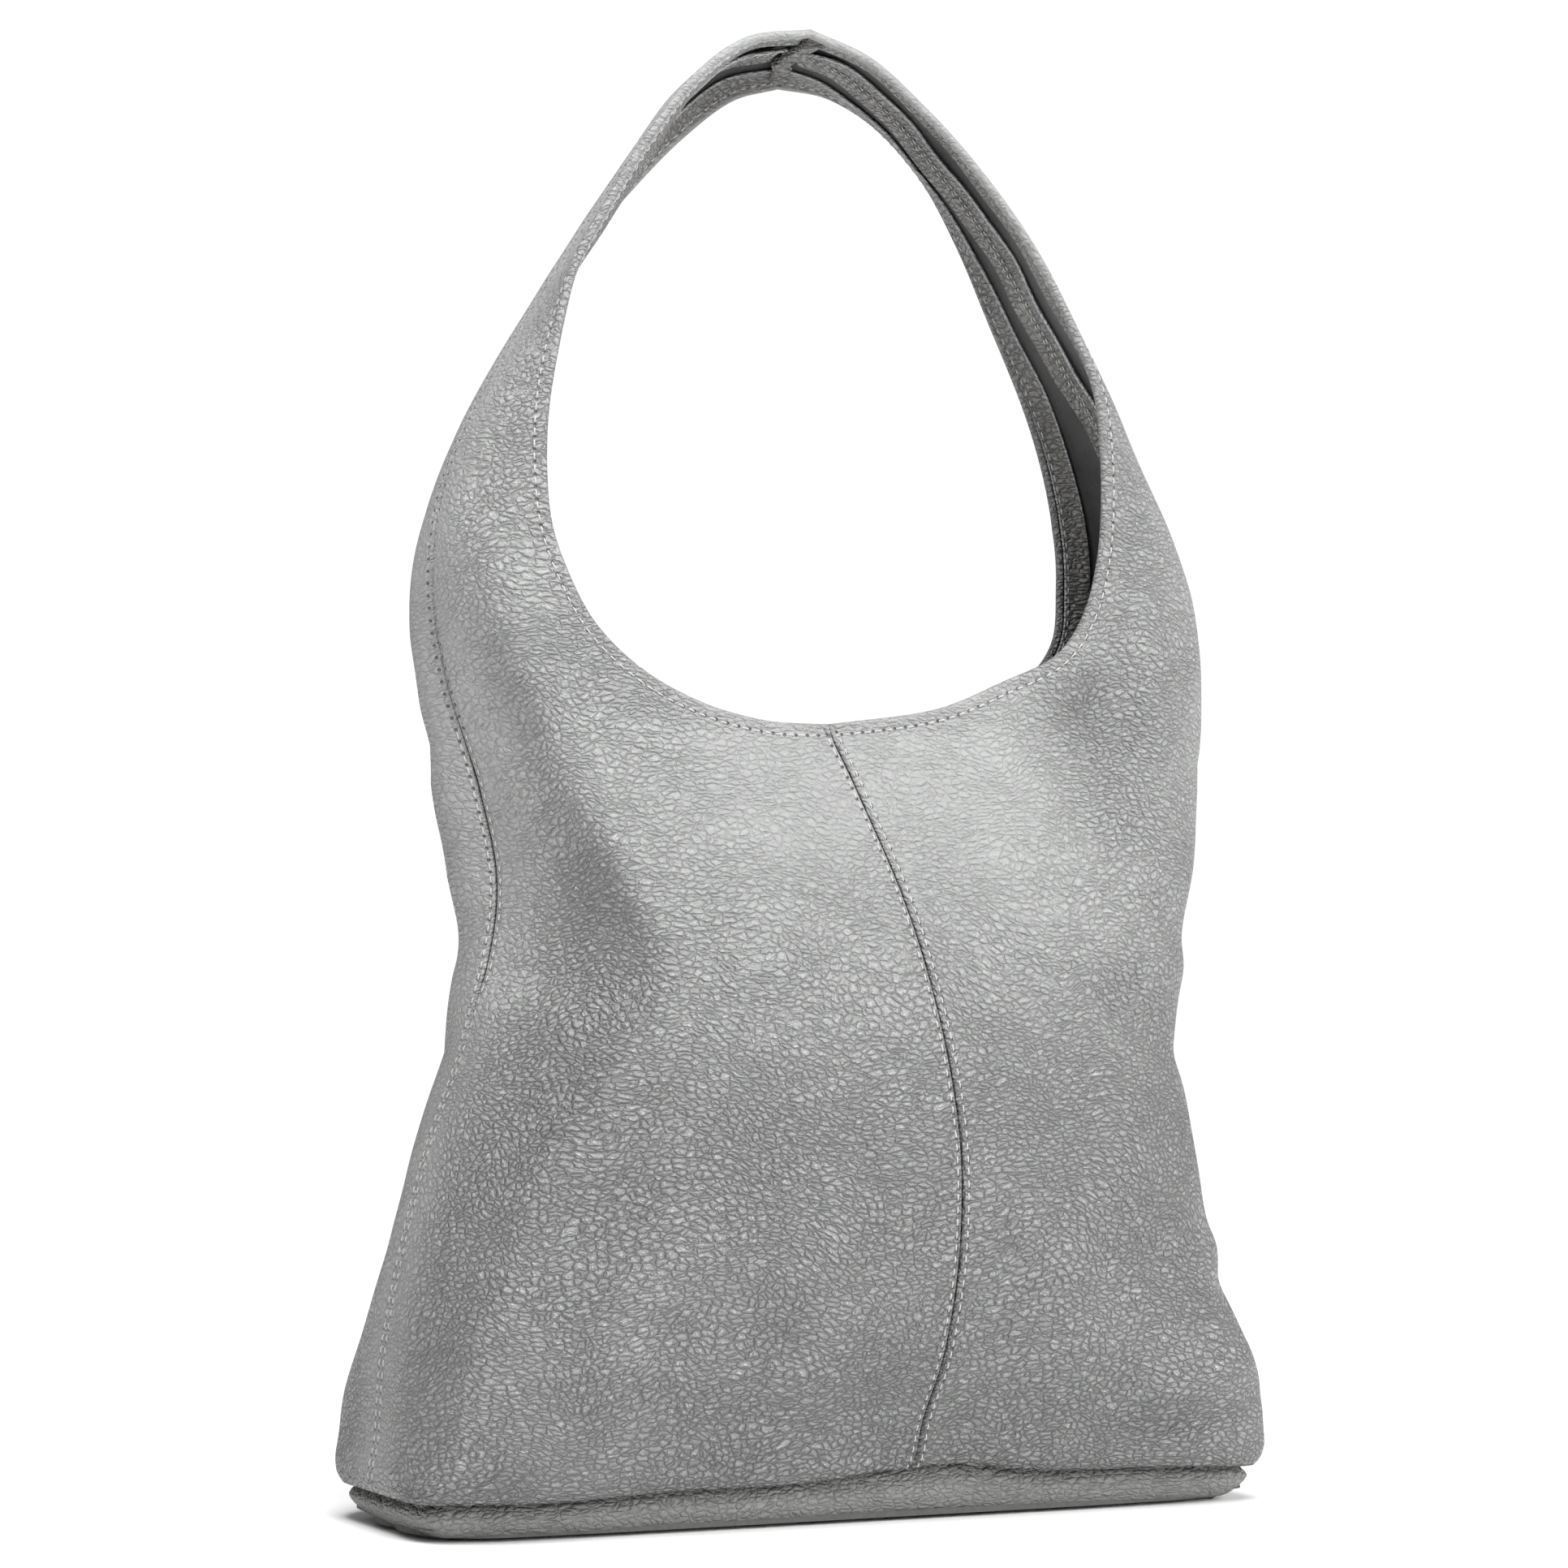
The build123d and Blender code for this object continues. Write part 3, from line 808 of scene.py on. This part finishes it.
SKIN = {side: tree_of(side) for side in ("front", "back", "left", "right")}


def walk(tree, start, direction, distances):
    """Points and normals on the skin at the given distances from start."""
    points, normals = [], []
    at = Vector(start)
    way = Vector(direction).normalized()
    gone = 0.0
    for target in distances:
        while target - gone > 1e-6:
            step = min(2.0, target - gone)
            hit = tree.find_nearest(at + way * step)[0]
            gone += step
            moved = hit - at
            at = hit
            if moved.length > 1e-6:
                way = moved.normalized()
        hit, normal = tree.find_nearest(at)[:2]
        points.append(np.array(hit))
        normals.append(np.array(normal))
    return np.array(points), np.array(normals)


def walk_all(tree, starts, directions, distances):
    """Rows of points and normals, one row from each start."""
    rows = [walk(tree, p, way, distances) for p, way in zip(starts, directions)]
    return [np.array(part) for part in zip(*rows)]


def smoothed(values, times=3):
    v = np.array(values, float)
    for _ in range(times):
        v[1:-1] = (v[:-2] + 2 * v[1:-1] + v[2:]) / 4
    return v


def strip(name, tops, normals, depth, thickness):
    """A thin strip lying depth below the skin; its long edges are cut and rounded."""
    rings = []
    for top, n in zip(tops, normals):
        upper = top - n * depth
        lower = top - n * (depth + thickness)
        round_off = thickness * 0.35
        side_a = (upper[0] + lower[0]) / 2 + unit(upper[0] - upper[1]) * round_off
        side_b = (upper[-1] + lower[-1]) / 2 + unit(upper[-1] - upper[-2]) * round_off
        rings.append(np.vstack([upper, side_b, lower[::-1], side_a]))
    flat = tops.shape[1] - 1
    slots = [1] * flat + [2, 2] + [0] * flat + [2, 2]
    obj = loop_mesh(name, rings, [TRIM, SUEDE, CUT_EDGE], slots)
    return obj


def facing(q):
    """The strip turned in and stitched down inside the rim."""
    tree = SKIN[q.name.split("_")[0]]
    distances = [2.2, 2.8, 3.4, 4.2, 5.5, 7.0, 9.0, 11.0, 12.5, FACING_WIDTH]
    tops, normals = walk_all(tree, q.rim, -q.rim_away, distances)
    tops = smoothed(tops, 4)
    normals = unit(smoothed(normals, 8))
    run = lengths_along(q.rim)
    wave = 0.55 * np.sin(run / 17.0 + 1.3) + 0.35 * np.sin(run / 7.3)
    lift = np.array([0, 0, -0.25, 0, 0.05, 0.1, 0.2, 0.45, 0.8, 1.0])
    tops = tops - normals * (lift[None, :] * (0.9 + 0.6 * wave[:, None]))[..., None]
    obj = strip(q.name + "_facing_leather", tops, normals, FACING_DEPTH, FACING_THICK)
    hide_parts(q.name + "_rim_facing", q.name + "_strap_facing")
    return obj


def ridge_frame(side, first_row):
    """Points, normals and front-pointing directions along a side seam."""
    front = QUARTERS["front_" + side]
    back = QUARTERS["back_" + side]
    line = front.skin[first_row:, 0]
    run = unit(np.gradient(line, axis=0))
    n = unit(front.normal[first_row:, 6] + back.normal[first_row:, 6])
    n = unit(smoothed(square_to(run, n), 6))
    forward = np.cross(n, run)
    forward *= -np.sign(forward[:, 1:2])
    return line, n, unit(forward)


def tape(side):
    """Tape inside the side seam: it covers the seam from the body up to the strap's top."""
    line, n, forward = ridge_frame(side, row_at(TAPE_START))
    tree = SKIN[side]
    steps = [0.01, 1.2, 2.0, 2.8, 4.2, 6.2, 8.2, TAPE_HALF]
    ahead = walk_all(tree, line, forward, steps)
    behind = walk_all(tree, line, -forward, steps)
    tops, normals = (np.concatenate([a[:, ::-1], b], axis=1) for a, b in zip(ahead, behind))
    tops = smoothed(tops, 4)
    normals = unit(smoothed(normals, 8))
    normals[:, 5:-5] = unit(normals[:, 5:-5] + 2 * n[:, None])
    run = lengths_along(line)
    count = len(steps)
    profile = np.array([0.0, 0.9, 0.15, 0.75, 0.9, 0.85, 0.95, 1.25])
    profile = np.concatenate([profile[::-1], profile])
    phase = 0.0 if side == "right" else 1.7
    ripple = 0.6 * np.sin(run / 15 + phase) + 0.35 * np.sin(run / 6.1 + 2 * phase)
    edge = np.abs(np.linspace(-1, 1, 2 * count)) ** 3
    tops = tops - normals * (profile[None, :] + edge[None, :] * ripple[:, None])[..., None]
    end = np.searchsorted(run, run[-1] - (7.0 if side == "left" else 3.0))
    tops, normals = tops[:end], normals[:end]
    if side == "right":
        for k, distance in enumerate((run[end - 1] - run[:end])[::-1]):
            if distance < TAPE_END_ROUND:
                narrow = math.sqrt(max(1 - (1 - distance / TAPE_END_ROUND) ** 2, 0.05))
                middle = tops[end - 1 - k].mean(0)
                tops[end - 1 - k] = middle + (tops[end - 1 - k] - middle) * narrow
    obj = strip(side + "_seam_tape_leather", tops, normals, TAPE_DEPTH, TAPE_THICK)
    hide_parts("side_seam_tape_" + side, "strap_tape_" + side)
    return obj, tops, normals


# Stitches
def even_points(line, normals, pitch):
    """Centres, normals and directions at every pitch along a line."""
    run = lengths_along(line)
    stops = (np.arange(int(run[-1] / pitch)) + 0.5) * pitch
    at = at_lengths(stops, run, line)
    way = unit(at_lengths(stops + 1, run, line) - at_lengths(stops - 1, run, line))
    return at, square_to(way, at_lengths(stops, run, normals)), way


def stitches(name, lines, length=3.7, radius=0.36):
    """Short threads that arch over the leather and dive into it at both ends."""
    sides, rings = 6, 7
    vertices, faces = [], []
    for line, normals, pitch in lines:
        for at, n, way in zip(*even_points(line, normals, pitch)):
            side = np.cross(n, way)
            base = len(vertices)
            slant = random.uniform(-0.05, 0.05)
            for r in range(rings):
                w = -1 + 2 * r / (rings - 1)
                fat = radius * math.sqrt(max(1 - abs(w) ** 5, 0.08))
                rise = radius * 0.55 - 0.05 - 0.62 * w * w
                middle = at + way * (w * length / 2) + n * rise + side * slant * w
                for s in range(sides):
                    a = 2 * math.pi * s / sides
                    vertices.append(middle + fat * (n * math.sin(a) + side * math.cos(a)))
            for r in range(rings - 1):
                faces += band(base + r * sides, base + (r + 1) * sides, sides)
            faces.append(tuple(base + s for s in range(sides))[::-1])
            faces.append(tuple(base + (rings - 1) * sides + s for s in range(sides)))
    obj = make_mesh(name, vertices, faces, [THREAD])
    return obj


def line_beside(q, which, distance):
    """A line on a panel's outer face at a distance from one of its edges."""
    if which == "side":
        gap, outer, normal = q.side_gap, q.outer, q.normal
    else:
        gap, outer, normal = (a[:CORNER_ROW, ::-1] for a in (q.centre_gap, q.outer, q.normal))
    near = 2 * len(NEAR)
    points = [at_lengths(distance, g[:near], p[:near]) for g, p in zip(gap, outer)]
    normals = [at_lengths(distance, g[:near], n[:near]) for g, n in zip(gap, normal)]
    return np.array(points), unit(np.array(normals))


def rim_line(q, distance, depth, inside=False):
    """A line at a distance from the rim and a depth below the skin, seen from either side."""
    tree = SKIN[q.name.split("_")[0]]
    points, normals = (a[:, 0] for a in walk_all(tree, q.rim, -q.rim_away, [distance]))
    points, normals = smoothed(points), unit(smoothed(normals, 4))
    return points - normals * depth, -normals if inside else normals


panels = [panel(q) for q in QUARTERS.values()]
facings = [facing(q) for q in QUARTERS.values()]
tapes = {side: tape(side) for side in ("left", "right")}

SIDE_STITCH_END = 9.5      # the station where the side seam's outer stitching ends
FACING_THREAD_DEPTH = 3.3  # below the skin's outside
TAPE_THREAD_DEPTH = 4.0

thread_objects = []
for name, q in QUARTERS.items():
    seam_end = row_at(SIDE_STITCH_END)
    points, normals = line_beside(q, "side", SEAM_STITCH)
    lines = [
        (*rim_line(q, RIM_STITCH, 0.25), STITCH),
        (*rim_line(q, RIM_STITCH, FACING_THREAD_DEPTH, inside=True), STITCH),
        (points[:seam_end], normals[:seam_end], STITCH),
        (*line_beside(q, "centre", SEAM_STITCH), STITCH),
    ]
    thread_objects.append(stitches(name + "_topstitch", lines))

for side, (_, tops, normals) in tapes.items():
    lines = []
    for column in (6, -7):
        n = normals[:, column]
        lines.append((tops[:, column] - n * TAPE_THREAD_DEPTH, -n, FINE_STITCH))
    thread_objects.append(stitches(side + "_tape_stitch", lines, length=2.7, radius=0.3))


# Crown: the folded join across the top of the strap
CROWN_END = 7.5        # left free at each rim
CROWN_DEPTH = 5.6      # its middle, below the skin's outside
CROWN_HALF_WIDTH = 4.6
CROWN_RISE = 2.3
CROWN_SIDES = 20


def crown():
    """Lumpy folded leather across the inside of the strap, over the join."""
    fl, bl = QUARTERS["front_left"], QUARTERS["back_left"]
    line = np.vstack([fl.skin[-1][::-1], bl.skin[-1][1:]])
    normal = np.vstack([fl.normal[-1][::-1], bl.normal[-1][1:]])
    normal = unit(smoothed(normal, 8))
    run = lengths_along(line)
    stops = np.linspace(CROWN_END, run[-1] - CROWN_END, 46)
    at = at_lengths(stops, run, line)
    n = unit(at_lengths(stops, run, normal))
    way = unit(np.gradient(at, axis=0))
    side = unit(np.cross(way, n))
    side *= np.sign(side[:, :1])
    rings = []
    for k, (p, d, s) in enumerate(zip(at, n, side)):
        bulge = 1.0 + 0.35 * perlin(Vector((k * 0.31, 2.0, 0.0))) + 0.25 * math.sin(k * 0.9)
        shift = 1.6 * perlin(Vector((k * 0.17, 7.0, 0.0)))
        ring = []
        for a in range(CROWN_SIDES):
            turn = 2 * math.pi * a / CROWN_SIDES
            c, q = math.cos(turn), math.sin(turn)
            wide = CROWN_HALF_WIDTH * math.copysign(abs(c) ** 0.8, c)
            deep = CROWN_RISE * bulge * math.copysign(abs(q) ** 0.7, q)
            dent = -0.9 * bell(wide + 1.2, 0.9) if q < 0 else 0.0
            ring.append(p - d * (CROWN_DEPTH - deep + dent) + s * (wide + shift))
        rings.append(ring)
    first, last = (np.mean(ring, 0) * 0.4 + np.array(ring) * 0.6 for ring in (rings[0], rings[-1]))
    rings = [first] + rings + [last]
    obj = loop_mesh("crown_join_leather", rings, [TRIM])
    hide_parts("crown_tape")
    return obj


crown_piece = crown()


# Base
def base_outline(inset, count=64):
    """The base seam's outline on the floor, moved in by inset."""
    corners = []
    for name, step in (("front_left", 1), ("front_right", -1), ("back_right", 1), ("back_left", -1)):
        row = QUARTERS[name].plain[0]
        run = lengths_along(row)
        line = at_lengths(np.linspace(0, run[-1], count), run, row)
        corners.append(line[::step][:-1])
    ring = np.vstack(corners)
    way = unit(np.roll(ring, -1, 0) - np.roll(ring, 1, 0))
    outward = np.stack([way[:, 1], -way[:, 0], np.zeros(len(way))], -1)
    outward *= np.sign((outward * ring).sum(1, keepdims=True) + 1e-9)
    ring = ring - outward * inset
    ring[:, 2] = 0
    return ring


def base_tray():
    """Leather tray tucked under the panels' edge: a soft roll with a rounded under-edge."""
    # inset from the panels' edge, share of the height, how much the corners are cut
    profile = [
        (7.5, 1.10, 0.0), (6.8, 0.98, 0.0), (5.4, 0.88, 0.0), (3.9, 0.78, 0.001), (2.9, 0.68, 0.003),
        (2.6, 0.58, 0.006), (2.9, 0.47, 0.010), (3.7, 0.36, 0.014), (4.7, 0.26, 0.018),
        (5.8, 0.18, 0.022), (7.1, 0.11, 0.026), (9.8, 0.05, 0.03), (16.0, 0.02, 0.034),
    ]
    rings = []
    for inset, share, cut in profile:
        ring = base_outline(inset)
        x, y = ring[:, 0].copy(), ring[:, 1].copy()
        edge = BASE_SEAM + base_edge(x)
        corner = (np.abs(x) / 188) ** 5 * np.minimum(np.abs(y) / 56, 1.0) ** 2
        ring[:, 0] *= 1 - cut * corner
        ring[:, 1] *= 1 - 2.2 * cut * corner
        wave = 0.8 * np.sin(x / 29.0 + 0.6) + 0.45 * np.sin(x / 11.0)
        ring[:, 1] += np.sign(y) * wave * 0.6 * math.sin(math.pi * min(share, 1.0))
        lift = 0.9 + 0.5 * bell(x - 40, 60) + 3.6 * smoothstep(176, 190, np.abs(x))
        away = smoothstep(20, 45, np.abs(y) + 40 * smoothstep(150, 182, np.abs(x)))
        ring[:, 2] = share * edge + lift * away * max(1 - share, 0) ** 1.5
        rings.append(ring)
    count = len(rings[0])
    for share in (0.8, 0.55, 0.3, 0.1):
        ring = rings[len(profile) - 1].copy()
        ring[:, 0] *= share + 0.1 * (1 - share)
        ring[:, 1] *= share
        ring[:, 2] *= share
        rings.append(ring)
    vertices = np.vstack(rings + [np.zeros((1, 3))])
    faces = []
    for r in range(len(rings) - 1):
        faces += band(r * count, (r + 1) * count, count)
    last = (len(rings) - 1) * count
    for k in range(count):
        faces.append((last + k, last + (k + 1) % count, len(vertices) - 1))
    obj = make_mesh("base_leather", vertices, faces, [SHADED_BASE_LEATHER])
    thicken(obj, 1.5, -1)
    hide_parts("base_panel")
    return obj


COVER_INSET = 6.2
COVER_HEIGHT = 4.9


def base_cover():
    """The suede-covered floor of the bag, softly waved over its board."""
    rings = []
    for share in (0.0, 0.15, 0.35, 0.55, 0.75, 0.9, 1.0):
        ring = base_outline(COVER_INSET, 40) * share
        wave = 0.45 * np.sin(ring[:, 0] / 24.0) * np.cos(ring[:, 1] / 19.0)
        ring[:, 2] = COVER_HEIGHT + wave * (1 - share**4) + 0.5 * share**8
        rings.append(ring)
    count = len(rings[0])
    vertices = np.vstack([rings[0][:1]] + rings[1:])
    faces = [(0, 1 + k, 1 + (k + 1) % count) for k in range(count)]
    for r in range(len(rings) - 2):
        faces += band(1 + r * count, 1 + (r + 1) * count, count)
    obj = make_mesh("base_cover_suede", vertices, faces, [SUEDE])
    thicken(obj, 1.1, 0)
    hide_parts("base_cover")
    return obj


tray = base_tray()
cover = base_cover()


# Snap tabs
TAB_RADIUS = 9.0       # of its lower corners
TAB_CENTRE = 296.0     # height that its rings shrink towards
TAB_STITCH_SHARE = 0.90
# share of the outline, and how far that ring lies into the tab, in half thicknesses
TAB_RINGS = [
    (1.0, 0.35), (0.985, 0.05), (0.95, 0.0), (0.90, 0.22), (0.86, 0.0), (0.6, -0.12), (0.30, 0.05),
]


def tab(side):
    """Leather tab with rounded lower corners, topstitched all round, with the snap's hole."""
    node = "snap_tab_" + side
    low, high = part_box(node)
    x0, x1 = low.x / MM, high.x / MM
    z0, z1 = low.z / MM, high.z / MM
    outer_y, inner_y = (low.y / MM, high.y / MM) if side == "front" else (high.y / MM, low.y / MM)
    half = (x1 - x0) / 2
    outline = [(-half, z1), (half, z1)]
    for middle, first in ((half - TAB_RADIUS, 0), (TAB_RADIUS - half, -math.pi / 2)):
        for k in range(9):
            a = first - math.pi / 2 * k / 8
            outline.append((middle + TAB_RADIUS * math.cos(a), z0 + TAB_RADIUS * (1 + math.sin(a))))
    line = []
    for a, b in zip(outline, outline[1:] + outline[:1]):
        n = max(1, round(math.dist(a, b) / 2.0))
        line += [(a[0] + (b[0] - a[0]) * k / n, a[1] + (b[1] - a[1]) * k / n) for k in range(n)]

    def shrunk(share):
        return [(x * share, TAB_CENTRE + (z - TAB_CENTRE) * share) for x, z in line]

    count = len(line)
    half_depth = (outer_y - inner_y) / 2
    vertices, faces = [], []
    for y0, inwards in ((inner_y, half_depth), (outer_y, -half_depth)):
        for share, lift in TAB_RINGS:
            vertices += [(x, y0 + lift * inwards, z) for x, z in shrunk(share)]
    inner_ring = (len(TAB_RINGS) - 1) * count
    other_face = len(TAB_RINGS) * count
    for face in (0, other_face):
        for r in range(len(TAB_RINGS) - 1):
            faces += band(face + r * count, face + (r + 1) * count, count)
    faces += band(0, other_face, count) + band(inner_ring, other_face + inner_ring, count)
    obj = make_mesh(node + "_leather", vertices, faces, [TRIM])
    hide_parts(node)
    body = side + "_tab"
    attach(obj, body)
    closed = [(x, inner_y, z) for x, z in shrunk(TAB_STITCH_SHARE)]
    closed = np.array(closed + closed[:1])
    normal = np.tile([0.0, 1.0 if side == "front" else -1.0, 0.0], (len(closed), 1))
    thread = stitches(node + "_thread", [(closed, normal, FINE_STITCH)], length=2.7, radius=0.3)
    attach(thread, body)


for side in ("front", "back"):
    tab(side)
for node in ("snap_socket", "snap_washer_front", "snap_stud", "snap_washer_back", "base_board"):
    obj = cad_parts[node]
    obj.data.materials.clear()
    obj.data.materials.append(BOARD if node == "base_board" else NICKEL)

# Riding: some pieces baked in place, the others attached to bodies
for obj in panels + facings + [t[0] for t in tapes.values()] + thread_objects:
    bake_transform(obj)
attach(crown_piece, "strap")
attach(tray, "bag")
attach(cover, "bag")


# Floor, light and camera
FLOOR_HALF = 60        # metres, so that its edge is never seen


def floor():
    n = Nodes("floor_white")
    place = n.add("ShaderNodeTexCoord").outputs["Object"]
    white = n.mix(n.noise(place, 0.7), (0.955, 0.955, 0.955, 1), (0.975, 0.975, 0.975, 1))
    material = n.surface({"Base Color": white, "Roughness": 0.9, "Specular IOR Level": 0.1})
    mesh = bpy.data.meshes.new("floor")
    corners = [(-1, -1), (1, -1), (1, 1), (-1, 1)]
    mesh.from_pydata([(x * FLOOR_HALF, y * FLOOR_HALF, 0) for x, y in corners], [], [(0, 1, 2, 3)])
    mesh.materials.append(material)
    placed("floor", mesh)


def aimed(name, data, place, direction):
    """Puts a light or camera in the scene, looking along direction."""
    obj = placed(name, data)
    obj.location = place
    obj.rotation_euler = Vector(direction).to_track_quat("-Z", "Y").to_euler()
    return obj


def area(name, place, target, size, power):
    data = bpy.data.lights.new(name, "AREA")
    data.shape = "SQUARE"
    data.size = size
    data.energy = power
    aimed(name, data, place, Vector(target) - Vector(place))


def sun(name, energy, direction):
    data = bpy.data.lights.new(name, "SUN")
    data.energy = energy
    data.angle = math.radians(30)
    aimed(name, data, (0, 0, 0), direction)


def studio():
    """White surroundings, soft suns from above and from the front, two small fill lights."""
    world = bpy.data.worlds.new("studio")
    bpy.context.scene.world = world
    world.use_nodes = True
    tree = world.node_tree
    sky = tree.nodes["Background"]
    seen = tree.nodes.new("ShaderNodeLightPath")
    level = tree.nodes.new("ShaderNodeMapRange")
    level.inputs["To Min"].default_value = 0.24
    level.inputs["To Max"].default_value = 1.05
    tree.links.new(seen.outputs["Is Camera Ray"], level.inputs["Value"])
    tree.links.new(level.outputs[0], sky.inputs[1])
    sky.inputs[0].default_value = (1, 1, 1, 1)
    sun("high_left", 2.4, (0.10, 0.40, -0.91))
    sun("front", 2.1, (-0.36, 0.86, -0.34))
    area("strap_light", (-0.55, -0.30, 1.15), (-0.14, 0.0, 0.48), 0.25, 6)
    area("fill_right", (2.1, -0.7, 1.1), (0, 0, 0.3), 0.9, 24)


def camera():
    data = bpy.data.cameras.new("camera")
    data.sensor_width = 36
    data.lens = 95.1
    data.clip_end = 200
    place = Vector((-0.7354, -1.5770, 0.207))
    target = Vector((-0.0077, 0.0036, 0.3025))
    bpy.context.scene.camera = aimed("camera", data, place, target - place)


floor()
studio()
camera()
bpy.context.scene.view_settings.view_transform = "Standard"
